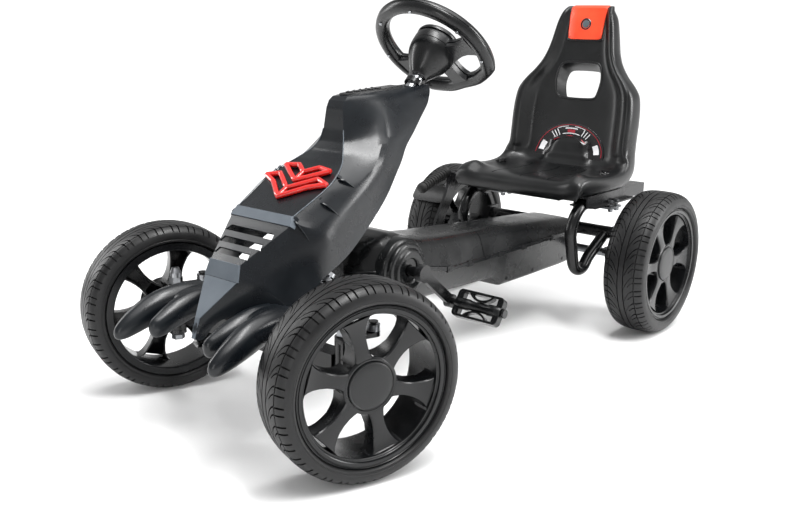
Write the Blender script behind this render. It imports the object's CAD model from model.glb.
"""Looks of a child's pedal go kart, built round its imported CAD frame.

Lengths in the classes are millimetres in the kart's own layout: X to the driver's left, Y back
from the front axle, Z up from the ground. `at` turns them into metres in the row frame.
"""

from __future__ import annotations

import logging
import math
from dataclasses import dataclass
from enum import Enum
from typing import Callable, Sequence

import bmesh
import bpy
from mathutils import Matrix, Vector


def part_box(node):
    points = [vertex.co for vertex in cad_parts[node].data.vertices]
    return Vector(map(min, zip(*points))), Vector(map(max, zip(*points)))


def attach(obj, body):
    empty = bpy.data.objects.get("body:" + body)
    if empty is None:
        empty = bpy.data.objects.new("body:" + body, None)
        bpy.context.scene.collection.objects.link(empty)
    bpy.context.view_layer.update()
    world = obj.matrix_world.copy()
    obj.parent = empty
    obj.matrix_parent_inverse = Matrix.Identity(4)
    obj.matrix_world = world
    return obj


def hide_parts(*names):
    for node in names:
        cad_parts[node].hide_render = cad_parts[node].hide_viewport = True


log = logging.getLogger("pedal_kart")
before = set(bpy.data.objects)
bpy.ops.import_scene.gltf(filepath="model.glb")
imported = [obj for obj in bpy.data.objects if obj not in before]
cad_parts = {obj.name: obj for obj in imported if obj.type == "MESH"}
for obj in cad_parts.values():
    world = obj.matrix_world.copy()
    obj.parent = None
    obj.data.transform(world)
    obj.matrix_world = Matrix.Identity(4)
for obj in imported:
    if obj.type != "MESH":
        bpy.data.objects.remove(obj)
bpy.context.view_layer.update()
FRONT_AXLE_Y = sum(corner.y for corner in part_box("front_crossbar")) / 2
MM = 0.001
FRONT_R, REAR_R = 130.0, 133.0
WHEELBASE = 788.0
CRANK_AXIS = (255.0, 190.0)
Ring = list[Vector]


class Side(Enum):
    """Side of the kart, as the sign of X."""

    LEFT = 1
    RIGHT = -1


def at(x: float, y: float, z: float) -> Vector:
    """Returns a point of the kart's layout (mm) in the row frame (m)."""
    return Vector((x * MM, FRONT_AXLE_Y + y * MM, z * MM))


def linear(code: str) -> tuple[float, float, float, float]:
    """Turns an sRGB hex colour into linear RGBA.

    Args:
        code: Six hex digits, with or without a leading #.

    Returns:
        Linear red, green and blue, and an alpha of 1.
    """
    code = code.lstrip("#")
    parts = [int(code[i : i + 2], 16) / 255 for i in (0, 2, 4)]
    lin = [p / 12.92 if p <= 0.04045 else ((p + 0.055) / 1.055) ** 2.4 for p in parts]
    return (lin[0], lin[1], lin[2], 1.0)


def add_node(tree: bpy.types.NodeTree, kind: str, inputs: dict | None = None, **settings) -> bpy.types.Node:
    """Adds one node with its settings, values and links.

    Args:
        tree: The material's node tree.
        kind: Blender's node type.
        inputs: Socket name or index to a value, or to an output socket to link from.
        **settings: Attributes of the node.

    Returns:
        The new node.
    """
    node = tree.nodes.new(kind)
    for name, value in settings.items():
        setattr(node, name, value)
    for key, value in (inputs or {}).items():
        if isinstance(value, bpy.types.NodeSocket):
            tree.links.new(value, node.inputs[key])
        else:
            node.inputs[key].default_value = value
    return node


# ---- finishes ---------------------------------------------------------------


@dataclass(frozen=True)
class Finish:
    """A real surface: base colour, sheen of its top layer and the grain left by its making."""

    name: str
    slot: str
    colour: str
    second: str
    roughness: float
    spread: float = 0.08
    metallic: float = 0.0
    ior: float = 1.42
    coat: float = 0.0
    grain_mm: float = 1.2
    grain_depth_mm: float = 0.05
    mottle_mm: float = 60.0
    wear: str = ""
    brushed: bool = False

    def material(self) -> bpy.types.Material:
        """Returns the Blender material, made on first use."""
        found = bpy.data.materials.get(self.name)
        if found:
            return found
        mat = bpy.data.materials.new(self.name)
        mat.use_nodes = True
        tree = mat.node_tree
        shader = next(n for n in tree.nodes if n.type == "BSDF_PRINCIPLED")
        shader.inputs["Metallic"].default_value = self.metallic
        if not self.metallic:
            shader.inputs["IOR"].default_value = self.ior
        shader.inputs["Coat Weight"].default_value = self.coat
        shader.inputs["Coat Roughness"].default_value = 0.06
        place = add_node(tree, "ShaderNodeTexCoord").outputs["Object"]
        if self.brushed:
            place = add_node(tree, "ShaderNodeMapping",
                             {"Vector": place, "Scale": (0.06, 1.0, 1.0)}).outputs[0]
        mottle = add_node(
            tree, "ShaderNodeTexNoise", {"Vector": place, "Scale": 1000 / self.mottle_mm, "Detail": 4.0,
                                         "Roughness": 0.6}
        ).outputs["Fac"]
        grain = add_node(
            tree, "ShaderNodeTexNoise", {"Vector": place, "Scale": 1000 / self.grain_mm, "Detail": 2.0,
                                         "Roughness": 0.5}
        ).outputs["Fac"]
        colour = self.paint(tree, mottle, grain, place)
        tree.links.new(colour, shader.inputs["Base Color"])
        rough = add_node(
            tree, "ShaderNodeMapRange",
            {"Value": mottle, "From Min": 0.3, "From Max": 0.7,
             "To Min": max(self.roughness - self.spread, 0.02), "To Max": self.roughness + self.spread},
        ).outputs["Result"]
        tree.links.new(rough, shader.inputs["Roughness"])
        bump = add_node(
            tree, "ShaderNodeBump", {"Height": grain, "Strength": 0.6, "Distance": self.grain_depth_mm * MM}
        ).outputs["Normal"]
        tree.links.new(bump, shader.inputs["Normal"])
        return mat

    def paint(self, tree: bpy.types.NodeTree, mottle: bpy.types.NodeSocket, grain: bpy.types.NodeSocket,
              place: bpy.types.NodeSocket) -> bpy.types.NodeSocket:
        """Mixes the colours of the surface.

        Args:
            tree: The material's node tree.
            mottle: Broad cloudy noise.
            grain: Fine noise of the surface's own texture.
            place: Coordinates on the piece, in metres.

        Returns:
            The colour's socket.
        """
        ramp = add_node(tree, "ShaderNodeMapRange", {"Value": mottle, "From Min": 0.35, "From Max": 0.65})
        mixed = add_node(
            tree, "ShaderNodeMix", {"Factor": ramp.outputs["Result"], 6: linear(self.colour),
                                    7: linear(self.second)},
            data_type="RGBA",
        ).outputs[2]
        if not self.wear:
            return mixed
        edge = add_node(tree, "ShaderNodeNewGeometry").outputs["Pointiness"]
        rubbed = add_node(tree, "ShaderNodeMapRange",
                          {"Value": edge, "From Min": 0.53, "From Max": 0.62, "To Max": 0.55})
        broken = add_node(
            tree, "ShaderNodeMath", {0: rubbed.outputs["Result"], 1: grain}, operation="MULTIPLY"
        ).outputs[0]
        return add_node(
            tree, "ShaderNodeMix", {"Factor": broken, 6: mixed, 7: linear(self.wear)}, data_type="RGBA"
        ).outputs[2]


# Polypropylene, injection moulded in a spark-eroded tool: soft satin sheen, faint pebble
POLYPROPYLENE = Finish("satin_polypropylene", "black_plastic", "#0a0b0c", "#0f1011", 0.27, 0.05,
                       wear="#202123")
# Polyethylene, blow moulded: slightly waxy, broader and softer highlights than the moulded covers
SEAT_PE = Finish("blow_moulded_polyethylene", "black_plastic", "#0b0c0d", "#101112", 0.31, 0.05,
                 grain_mm=1.6,
                 grain_depth_mm=0.05, wear="#222325")
# ABS, polished tool: dark blue-grey, smooth with long highlights
FAIRING_ABS = Finish("satin_abs", "fairing_plastic", "#0a0d11", "#0e1216", 0.28, 0.04, grain_depth_mm=0.02,
                     wear="#20262c")
# The same ABS on the facets that face the sky, wiped to a lighter, smoother sheen
FACET_ABS = Finish("polished_abs", "fairing_plastic", "#4d545b", "#565d64", 0.32, 0.04, grain_depth_mm=0.02)
# EVA foam, moulded: matt, fine closed pores, greyer where it has been touched
EVA_FOAM = Finish("eva_foam", "tyre_rubber", "#0b0b0c", "#101011", 0.44, 0.07, grain_mm=0.9,
                  grain_depth_mm=0.06,
                  mottle_mm=35, wear="#2a2a2b")
# Polypropylene wheel, injection moulded: a little glossier than the covers
RIM_PP = Finish("moulded_wheel_polypropylene", "rim_plastic", "#0a0b0c", "#0e0f11", 0.25, 0.05,
                wear="#1f2022")
CAP_PP = Finish("hub_cap_polypropylene", "rim_plastic", "#121314", "#171819", 0.34, 0.05, grain_mm=0.8)
# Mild steel, powder coated black: orange peel about 1.5 mm across
POWDER_COAT = Finish("powder_coated_steel", "black_steel", "#090a0b", "#0e0e0f", 0.25, 0.05, grain_mm=1.6,
                     grain_depth_mm=0.04, wear="#303032")
# Steel, zinc plated: greyish, slightly uneven metal
ZINC = Finish("zinc_plated_steel", "bare_steel", "#8d8f92", "#a3a5a8", 0.34, 0.1, metallic=1.0,
              grain_mm=0.7,
              mottle_mm=12, grain_depth_mm=0.02)
# Steel tube, turned and bright nickel plated
BRIGHT_STEEL = Finish("bright_plated_steel", "column_steel", "#b9bbbe", "#c6c8cb", 0.16, 0.04, metallic=1.0,
                      mottle_mm=20, grain_depth_mm=0.01, brushed=True)
# Roller chain steel, oiled: brownish dark metal
OILED_STEEL = Finish("oiled_chain_steel", "chain_steel", "#4b4238", "#6a6056", 0.4, 0.1, metallic=1.0,
                     mottle_mm=8)
# Nylon, injection moulded in its natural colour
NYLON = Finish("natural_nylon", "bush_nylon", "#c9c7bd", "#d3d1c8", 0.45, 0.05)
# ABS sprayed with a clear-coated red lacquer: deep gloss
RED_LACQUER = Finish("red_lacquer", "red_gloss", "#b9120c", "#c6170f", 0.22, 0.03, coat=0.8,
                     grain_depth_mm=0.005)
# PVC sheet over foam, vacuum formed: bright orange red, smooth
PAD_VINYL = Finish("vacuum_formed_vinyl", "pad_orange", "#e2401f", "#ea4a26", 0.36, 0.04, coat=0.1,
                   grain_mm=0.8)
# Printed polyester film: near black, glossy
PRINTED_FILM = Finish("printed_film", "print_grey", "#0b0a0c", "#100e11", 0.24, 0.03, coat=0.3,
                      grain_depth_mm=0.004)
PRINT_WHITE = Finish("film_print_white", "print_grey", "#d8d8da", "#e4e4e6", 0.3, 0.03, coat=0.3,
                     grain_depth_mm=0.004)
PRINT_RED = Finish("film_print_red", "print_grey", "#8e1022", "#a01428", 0.3, 0.03, coat=0.3,
                   grain_depth_mm=0.004)
BUTTON_GREY = Finish("moulded_grey_abs", "print_grey", "#4c5358", "#565d62", 0.35, 0.04)
# Thermoplastic rubber, moulded over the brake lever
GRIP_RUBBER = Finish("moulded_rubber", "grip_rubber", "#101010", "#161616", 0.62, 0.06, grain_mm=0.7,
                     grain_depth_mm=0.08)


# ---- mesh making ------------------------------------------------------------


class Shape:
    """Collects vertices and faces in metres before they become one piece."""

    def __init__(self) -> None:
        """Starts empty."""
        self.verts: list[Vector] = []
        self.faces: list[tuple[int, ...]] = []

    def add(self, verts: Sequence[Vector], faces: Sequence[Sequence[int]],
            place: Matrix | None = None) -> Shape:
        """Adds a patch, moved by a matrix if one is given."""
        start = len(self.verts)
        self.verts += [place @ v if place else v.copy() for v in verts]
        self.faces += [tuple(start + i for i in f) for f in faces]
        return self

    def loft(self, rings: Sequence[Ring], close: bool = True, caps: bool = True, loop: bool = False,
             place: Matrix | None = None) -> Shape:
        """Skins a row of rings that have equal numbers of points.

        Args:
            rings: The rings, in order.
            close: Join each ring's last point to its first.
            caps: Close the first and last ring with a face.
            loop: Join the last ring to the first one.
            place: Matrix that moves the result.

        Returns:
            The shape itself.
        """
        n = len(rings[0])
        faces: list[tuple[int, ...]] = []
        pairs = len(rings) if loop else len(rings) - 1
        for i in range(pairs):
            j = (i + 1) % len(rings)
            for k in range(n if close else n - 1):
                m = (k + 1) % n
                faces.append((i * n + k, i * n + m, j * n + m, j * n + k))
        if caps and close and not loop:
            faces.append(tuple(reversed(range(n))))
            faces.append(tuple((len(rings) - 1) * n + k for k in range(n)))
        return self.add([v for r in rings for v in r], faces, place)

    def join(self, other: Shape, place: Matrix | None = None) -> Shape:
        """Adds all of another shape, moved by a matrix if one is given."""
        return self.add(other.verts, other.faces, place)

    def lathe(self, profile: Sequence[tuple[float, float]], place: Matrix, steps: int = 96,
              closed: bool = False) -> Shape:
        """Turns a profile of (radius, height) in mm about Z.

        Args:
            profile: The profile's points.
            place: Matrix from the turned piece's own frame to the row frame.
            steps: Steps round the axis.
            closed: Join the profile's last point to its first.

        Returns:
            The shape itself.
        """
        rings = [
            [Vector((r * MM * math.cos(a), r * MM * math.sin(a), z * MM)) for r, z in profile]
            for a in (2 * math.pi * i / steps for i in range(steps))
        ]
        return self.loft(rings, close=closed, caps=False, loop=True, place=place)

    def prism(self, outline: Sequence[tuple[float, float]], low: float, high: float,
              place: Matrix) -> Shape:
        """Extrudes a flat outline (mm) from low to high along Z."""
        rings = [[Vector((x * MM, y * MM, z * MM)) for x, y in outline] for z in (low, high)]
        return self.loft(rings, place=place)

    def sweep(self, path: Sequence[Vector], section: Callable[[float], Sequence[tuple[float, float]]],
              up: Vector, loop: bool = False) -> Shape:
        """Carries a section along a path in the row frame.

        Args:
            path: The path's points, in metres.
            section: Gives the section's (side, up) points in mm at a share 0..1 of the path.
            up: Direction that the section's second axis leans to.
            loop: The path closes on itself.

        Returns:
            The shape itself.
        """
        last = len(path) - 1
        rings = []
        for i, p in enumerate(path):
            ahead = path[(i + 1) % len(path)] if loop else path[min(i + 1, last)]
            behind = path[i - 1] if loop or i else path[0]
            way = (ahead - behind).normalized()
            side = way.cross(up).normalized()
            rise = side.cross(way).normalized()
            rings.append([p + side * (a * MM) + rise * (b * MM) for a, b in section(i / max(last, 1))])
        return self.loft(rings, loop=loop, caps=not loop)

    def carve(self, cutter: Shape) -> Shape:
        """Cuts another closed shape out of this one."""
        tool = cutter.object("cutter")
        body = self.object("carved")
        cut = body.modifiers.new("cut", "BOOLEAN")
        cut.operation, cut.object, cut.solver, cut.use_self = "DIFFERENCE", tool, "EXACT", True
        mesh = bpy.data.meshes.new_from_object(body.evaluated_get(bpy.context.evaluated_depsgraph_get()))
        self.verts = [v.co.copy() for v in mesh.vertices]
        self.faces = [tuple(p.vertices) for p in mesh.polygons]
        for obj in (tool, body):
            data = obj.data
            bpy.data.objects.remove(obj)
            bpy.data.meshes.remove(data)
        bpy.data.meshes.remove(mesh)
        return self

    def object(self, name: str) -> bpy.types.Object:
        """Returns a new linked object of the shape, with its faces turned outward."""
        mesh = bpy.data.meshes.new(name)
        mesh.from_pydata(self.verts, [], self.faces)
        bm = bmesh.new()
        bm.from_mesh(mesh)
        bmesh.ops.remove_doubles(bm, verts=bm.verts, dist=1e-6)
        bmesh.ops.recalc_face_normals(bm, faces=bm.faces)
        bm.to_mesh(mesh)
        bm.free()
        obj = bpy.data.objects.new(name, mesh)
        bpy.context.scene.collection.objects.link(obj)
        bpy.context.view_layer.update()
        return obj


def piece(name: str, shape: Shape, finish: Finish, body: str, bevel_mm: float = 0.0, smooth_levels: int = 0,
          sharp_deg: float = 35.0, wall_mm: float = 0.0, replaces: Sequence[str] = ()) -> bpy.types.Object:
    """Makes one finished piece of the kart.

    Args:
        name: The piece's name.
        shape: Its geometry.
        finish: What it is made of.
        body: The CAD body that it moves with.
        bevel_mm: Radius that its sharp edges are rounded to.
        smooth_levels: Levels of subdivision.
        sharp_deg: Edges sharper than this stay crisp.
        wall_mm: Thickness given to an open skin, inward.
        replaces: CAD nodes that it stands for.

    Returns:
        The new object.
    """
    obj = shape.object(name)
    obj.data.materials.append(finish.material())
    obj.data.polygons.foreach_set("use_smooth", [True] * len(obj.data.polygons))
    if wall_mm:
        wall = obj.modifiers.new("wall", "SOLIDIFY")
        wall.thickness, wall.offset = wall_mm * MM, -1.0
    if bevel_mm:
        edge = obj.modifiers.new("edge", "BEVEL")
        edge.width, edge.segments, edge.limit_method = bevel_mm * MM, 2, "ANGLE"
        edge.angle_limit = math.radians(sharp_deg)
        edge.harden_normals = False
    if smooth_levels:
        soft = obj.modifiers.new("soft", "SUBSURF")
        soft.levels = soft.render_levels = smooth_levels
    obj.data.set_sharp_from_angle(angle=math.radians(180 if smooth_levels else sharp_deg))
    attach(obj, body)
    if replaces:
        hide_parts(*replaces)
    log.info("%s rides on %s, %s", name, body, finish.name)
    return obj


def curve_through(points: Sequence[Sequence[float]], steps: int) -> list[list[float]]:
    """Returns a smooth row of points through the given ones (Catmull-Rom), `steps` to each span."""
    out: list[list[float]] = []
    last = len(points) - 1
    for i in range(last):
        p0, p1, p2, p3 = points[max(i - 1, 0)], points[i], points[i + 1], points[min(i + 2, last)]
        for s in range(steps):
            t = s / steps
            out.append([
                0.5 * (2 * b + (c - a) * t + (2 * a - 5 * b + 4 * c - d) * t * t
                       + (3 * b - a - 3 * c + d) * t ** 3)
                for a, b, c, d in zip(p0, p1, p2, p3)
            ])
    out.append(list(points[last]))
    return out


def between(table: Sequence[tuple[float, float]], x: float) -> float:
    """Returns the value at x on a smooth-stepped table of (x, value) rows."""
    if x <= table[0][0]:
        return table[0][1]
    for (x0, v0), (x1, v1) in zip(table, table[1:]):
        if x <= x1:
            t = (x - x0) / (x1 - x0)
            return v0 + (v1 - v0) * t
    return table[-1][1]


def bump_at(x: float, centre: float, width: float) -> float:
    """Returns a round bump of height 1 at centre that fades out over width."""
    t = (x - centre) / width
    return math.exp(-t * t)


def ellipse(rx: float, ry: float, n: int, power: float = 2.0) -> list[tuple[float, float]]:
    """Returns the points of an ellipse, squarer for a higher power."""
    out = []
    for k in range(n):
        c, s = math.cos(2 * math.pi * k / n), math.sin(2 * math.pi * k / n)
        out.append((rx * math.copysign(abs(c) ** (2 / power), c),
                    ry * math.copysign(abs(s) ** (2 / power), s)))
    return out


def rounded(w: float, h: float, r: float, n: int = 5) -> list[tuple[float, float]]:
    """Returns a rectangle w by h round the origin with corners of radius r."""
    out = []
    for cx, cy, a0 in ((w / 2 - r, h / 2 - r, 0), (r - w / 2, h / 2 - r, 90), (r - w / 2, r - h / 2, 180),
                       (w / 2 - r, r - h / 2, 270)):
        for k in range(n + 1):
            a = math.radians(a0 + 90 * k / n)
            out.append((cx + r * math.cos(a), cy + r * math.sin(a)))
    return out


# ---- wheels -----------------------------------------------------------------


@dataclass
class Wheel:
    """A moulded wheel with a foam tyre. Its own frame has Z along the axle, outboard side up."""

    name: str
    body: str
    place: Matrix
    tyre_r: float = FRONT_R
    spokes: int = 6
    units: int = 32
    way: int = 1
    turn: float = 0.0

    def radius(self, z: float) -> float:
        """Returns the tyre's radius at a height from its middle plane, without its grooves."""
        over = self.tyre_r - FRONT_R
        return between([(0, 130), (13, 129.9), (22, 129.0), (28, 127.6), (33, 125.2), (36.6, 121.6),
                        (38.6, 117.5),
                        (39.5, 113)], abs(z)) + over

    def groove(self, z: float, line: str) -> float:
        """Returns the groove depth of the tread (mm).

        Args:
            z: Height from the middle plane.
            line: "long", "short" or "" for the tread line that this column lies on.

        Returns:
            Depth below the unbroken tread.
        """
        h = abs(z)
        if 4.4 < h < 6.2:
            return 2.6
        if 24.5 < h < 26.1:
            return 2.4
        if h > 26.1:
            return 3.4 * (h < 37.0) * bool(line)
        if h > 6.2 and line:
            return 2.6 * (line == "long" or h > 14.5)
        return 0.0

    def tyre(self) -> bpy.types.Object:
        """Builds the tyre: shoulder blocks, swept tread lines, rounded shoulders, ribbed side walls."""
        tread = [-38.9, -38.2, -37.1, -36.9, -34.6, -32, -29.5, -27.4, -26.2, -26.0, -24.6, -24.4, -22.6,
                 -20.6, -18.6, -16.6, -14.6,
                 -14.4, -12.6, -10.8, -9.0, -7.6, -6.3, -6.1, -4.5, -4.3, -2, 0]
        tread = tread + [-z for z in reversed(tread[:-1])]
        o = self.tyre_r - FRONT_R
        side = [(113 + o, 39.5), (111.6, 39.5), (111.2, 39.0), (110.2, 39.0), (109.8, 39.4), (107.6, 38.6),
                (106.2, 36.6), (105.6, 33), (105.4, 30.9),
                (99, 30)]
        columns = [(0.0, ""), (0.012, "long"), (0.088, "long"), (0.1, ""), (0.14, ""), (0.23, ""),
                   (0.32, ""), (0.4, ""),
                   (0.412, "short"), (0.478, "short"), (0.49, ""), (0.55, ""), (0.65, ""), (0.75, ""),
                   (0.84, ""), (0.93, "")]
        rings = []
        for i in range(self.units):
            for share, line in columns:
                profile = [(r, -z) for r, z in reversed(side)]
                profile += [(self.radius(z) - self.groove(z, line), z) for z in tread]
                profile += side
                ring = []
                for r, z in profile:
                    swept = 25.0 * (max(0.0, min(1.0, (24.5 - abs(z)) / 18.3)) ** 1.8)
                    a = 2 * math.pi * (i + share) / self.units + self.way * swept / 127.0
                    ring.append(Vector((r * MM * math.cos(a), r * MM * math.sin(a), z * MM)))
                rings.append(ring)
        shape = Shape().loft(rings, close=True, caps=False, loop=True, place=self.place)
        return piece(f"{self.name}_tyre", shape, EVA_FOAM, self.body, sharp_deg=30,
                     replaces=[f"tyre_{self.name}"])

    def spoke(self) -> Shape:
        """Builds one spoke along +X: a dished crown that flares into hub and lip, hollow inboard."""
        shape = Shape()
        rows = []
        table = [(31, 15.0, 25.0), (35, 12.4, 25.6), (40, 10.6, 25.8), (48, 9.4, 25.4), (58, 9.6, 24.8),
                 (68, 11.2, 24.9),
                 (77, 13.8, 25.8), (84, 17.0, 27.2), (89, 20.8, 28.6), (92.8, 25.6, 30.0)]
        for r, w, top in table:
            run = math.sqrt(max(93.4 ** 2 - w * w, 0)) if r > 92 else r
            low = between([(31, -9), (42, -3), (58, 3), (80, 5), (93, 2)], r)
            section = [(-w - 1.0, low), (-w - 0.3, top - 5), (-w + 0.5, top - 1.4), (-w + 2.0, top),
                       (-w * 0.4, top + 0.4),
                       (w * 0.4, top + 0.4), (w - 2.0, top), (w - 0.5, top - 1.4), (w + 0.3, top - 5),
                       (w + 1.0, low),
                       (w - 1.8, low), (w - 3.4, top - 5.5), (3 - w, top - 5.5), (1.8 - w, low)]
            rows.append([Vector((run * MM, y * MM, z * MM)) for y, z in section])
        return shape.loft(rows)

    def rim(self) -> bpy.types.Object:
        """Builds the rim: stepped lips, barrel, dished hub and spokes."""
        shape = Shape()
        shape.lathe([(98.6, -30), (104.8, -31), (104.8, -34.2), (103.8, -35.4), (94, -35.4), (92.6, -34.4),
                     (91.6, -30),
                     (93.2, 10), (92.8, 27), (93.0, 30.2), (93.6, 31.0), (95.6, 31.2), (96.2, 32.0),
                     (96.6, 34.6), (97.4, 35.2),
                     (101.2, 35.4), (102.0, 34.4), (102.6, 34.4), (103.4, 35.6), (104.6, 35.2), (105.0, 34),
                     (105.0, 31),
                     (98.6, 30)], self.place, closed=True)
        shape.lathe([(self.bore(), -20), (19.4, -20), (20, -19.4), (20, -8), (26, -4), (29, 6), (33.5, 17),
                     (37.5, 23.6),
                     (37.2, 25.2), (34.6, 26.4), (32.6, 26.2), (32.2, 24.8), (32.2, 23.0), (17.8, 22.9),
                     (17.8, 8), (self.bore(), 8)],
                    self.place, closed=True)
        one = self.spoke()
        for i in range(self.spokes):
            place = self.place @ Matrix.Rotation(2 * math.pi * (i + 0.5) / self.spokes + self.turn, 4, "Z")
            shape.join(one, place)
        return piece(f"{self.name}_rim", shape, RIM_PP, self.body, sharp_deg=28,
                     replaces=[f"rim_{self.name}"])

    def bore(self) -> float:
        """Returns the radius of the hub's bore."""
        return 8.1 if self.name == "rear_left" else 13.0 if self.name == "rear_right" else 11.0

    def cap(self) -> bpy.types.Object:
        """Builds the snap-in hub cap with its shallow dish and rolled edge."""
        shape = Shape().lathe([(0, 25.1), (31.4, 25.1), (31.5, 26.4), (31.0, 27.8), (29.8, 28.4),
                               (29.0, 28.0), (28.4, 28.2),
                               (20, 28.9), (10, 29.2), (0, 29.3)], self.place)
        return piece(f"{self.name}_cap", shape, CAP_PP, self.body, sharp_deg=25,
                     replaces=[f"cap_{self.name}"])

    def build(self) -> None:
        """Builds the tyre, rim and cap."""
        self.tyre()
        self.rim()
        self.cap()


def wheel_frame(side: Side, x: float, y: float, z: float, steer: float = 0.0,
                offset: float = 0.0) -> Matrix:
    """Returns the frame of a wheel: Z outboard along its axle.

    Args:
        side: Side of the kart.
        x: Distance of the kingpin, or of the wheel itself, from the middle plane (mm).
        y: Place behind the front axle (mm).
        z: Height of the axle (mm).
        steer: Degrees that the wheel is turned to the right.
        offset: Distance from the kingpin to the wheel's middle (mm).

    Returns:
        Matrix to the row frame.
    """
    sign = side.value
    return (Matrix.Translation(at(sign * x, y, z)) @ Matrix.Rotation(math.radians(-steer), 4, "Z")
            @ Matrix.Translation(Vector((sign * offset * MM, 0, 0)))
            @ Matrix.Rotation(math.radians(90 * sign), 4, "Y"))


@dataclass
class Wheels:
    """The four wheels."""

    kingpin_x: float = 174.0
    stub: float = 43.0
    steer: float = 19.0
    rear_x: float = 230.0
    front_turn: tuple = (-16.0, -14.0)
    rear_turn: tuple = (-2.0, 10.0)

    def build(self) -> None:
        """Builds the wheels on their hubs."""
        for side, front, rear in zip(Side, self.front_turn, self.rear_turn):
            word = side.name.lower()
            Wheel(f"front_{word}", f"front_wheel_{word}",
                  wheel_frame(side, self.kingpin_x, 0, FRONT_R, self.steer, self.stub),
                  way=side.value, turn=math.radians(front)).build()
            Wheel(f"rear_{word}", "rear_axle" if side is Side.LEFT else "rear_wheel_right",
                  wheel_frame(side, self.rear_x, WHEELBASE, REAR_R), tyre_r=REAR_R, way=side.value,
                  turn=math.radians(rear)).build()


# ---- hand wheel -------------------------------------------------------------


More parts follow.
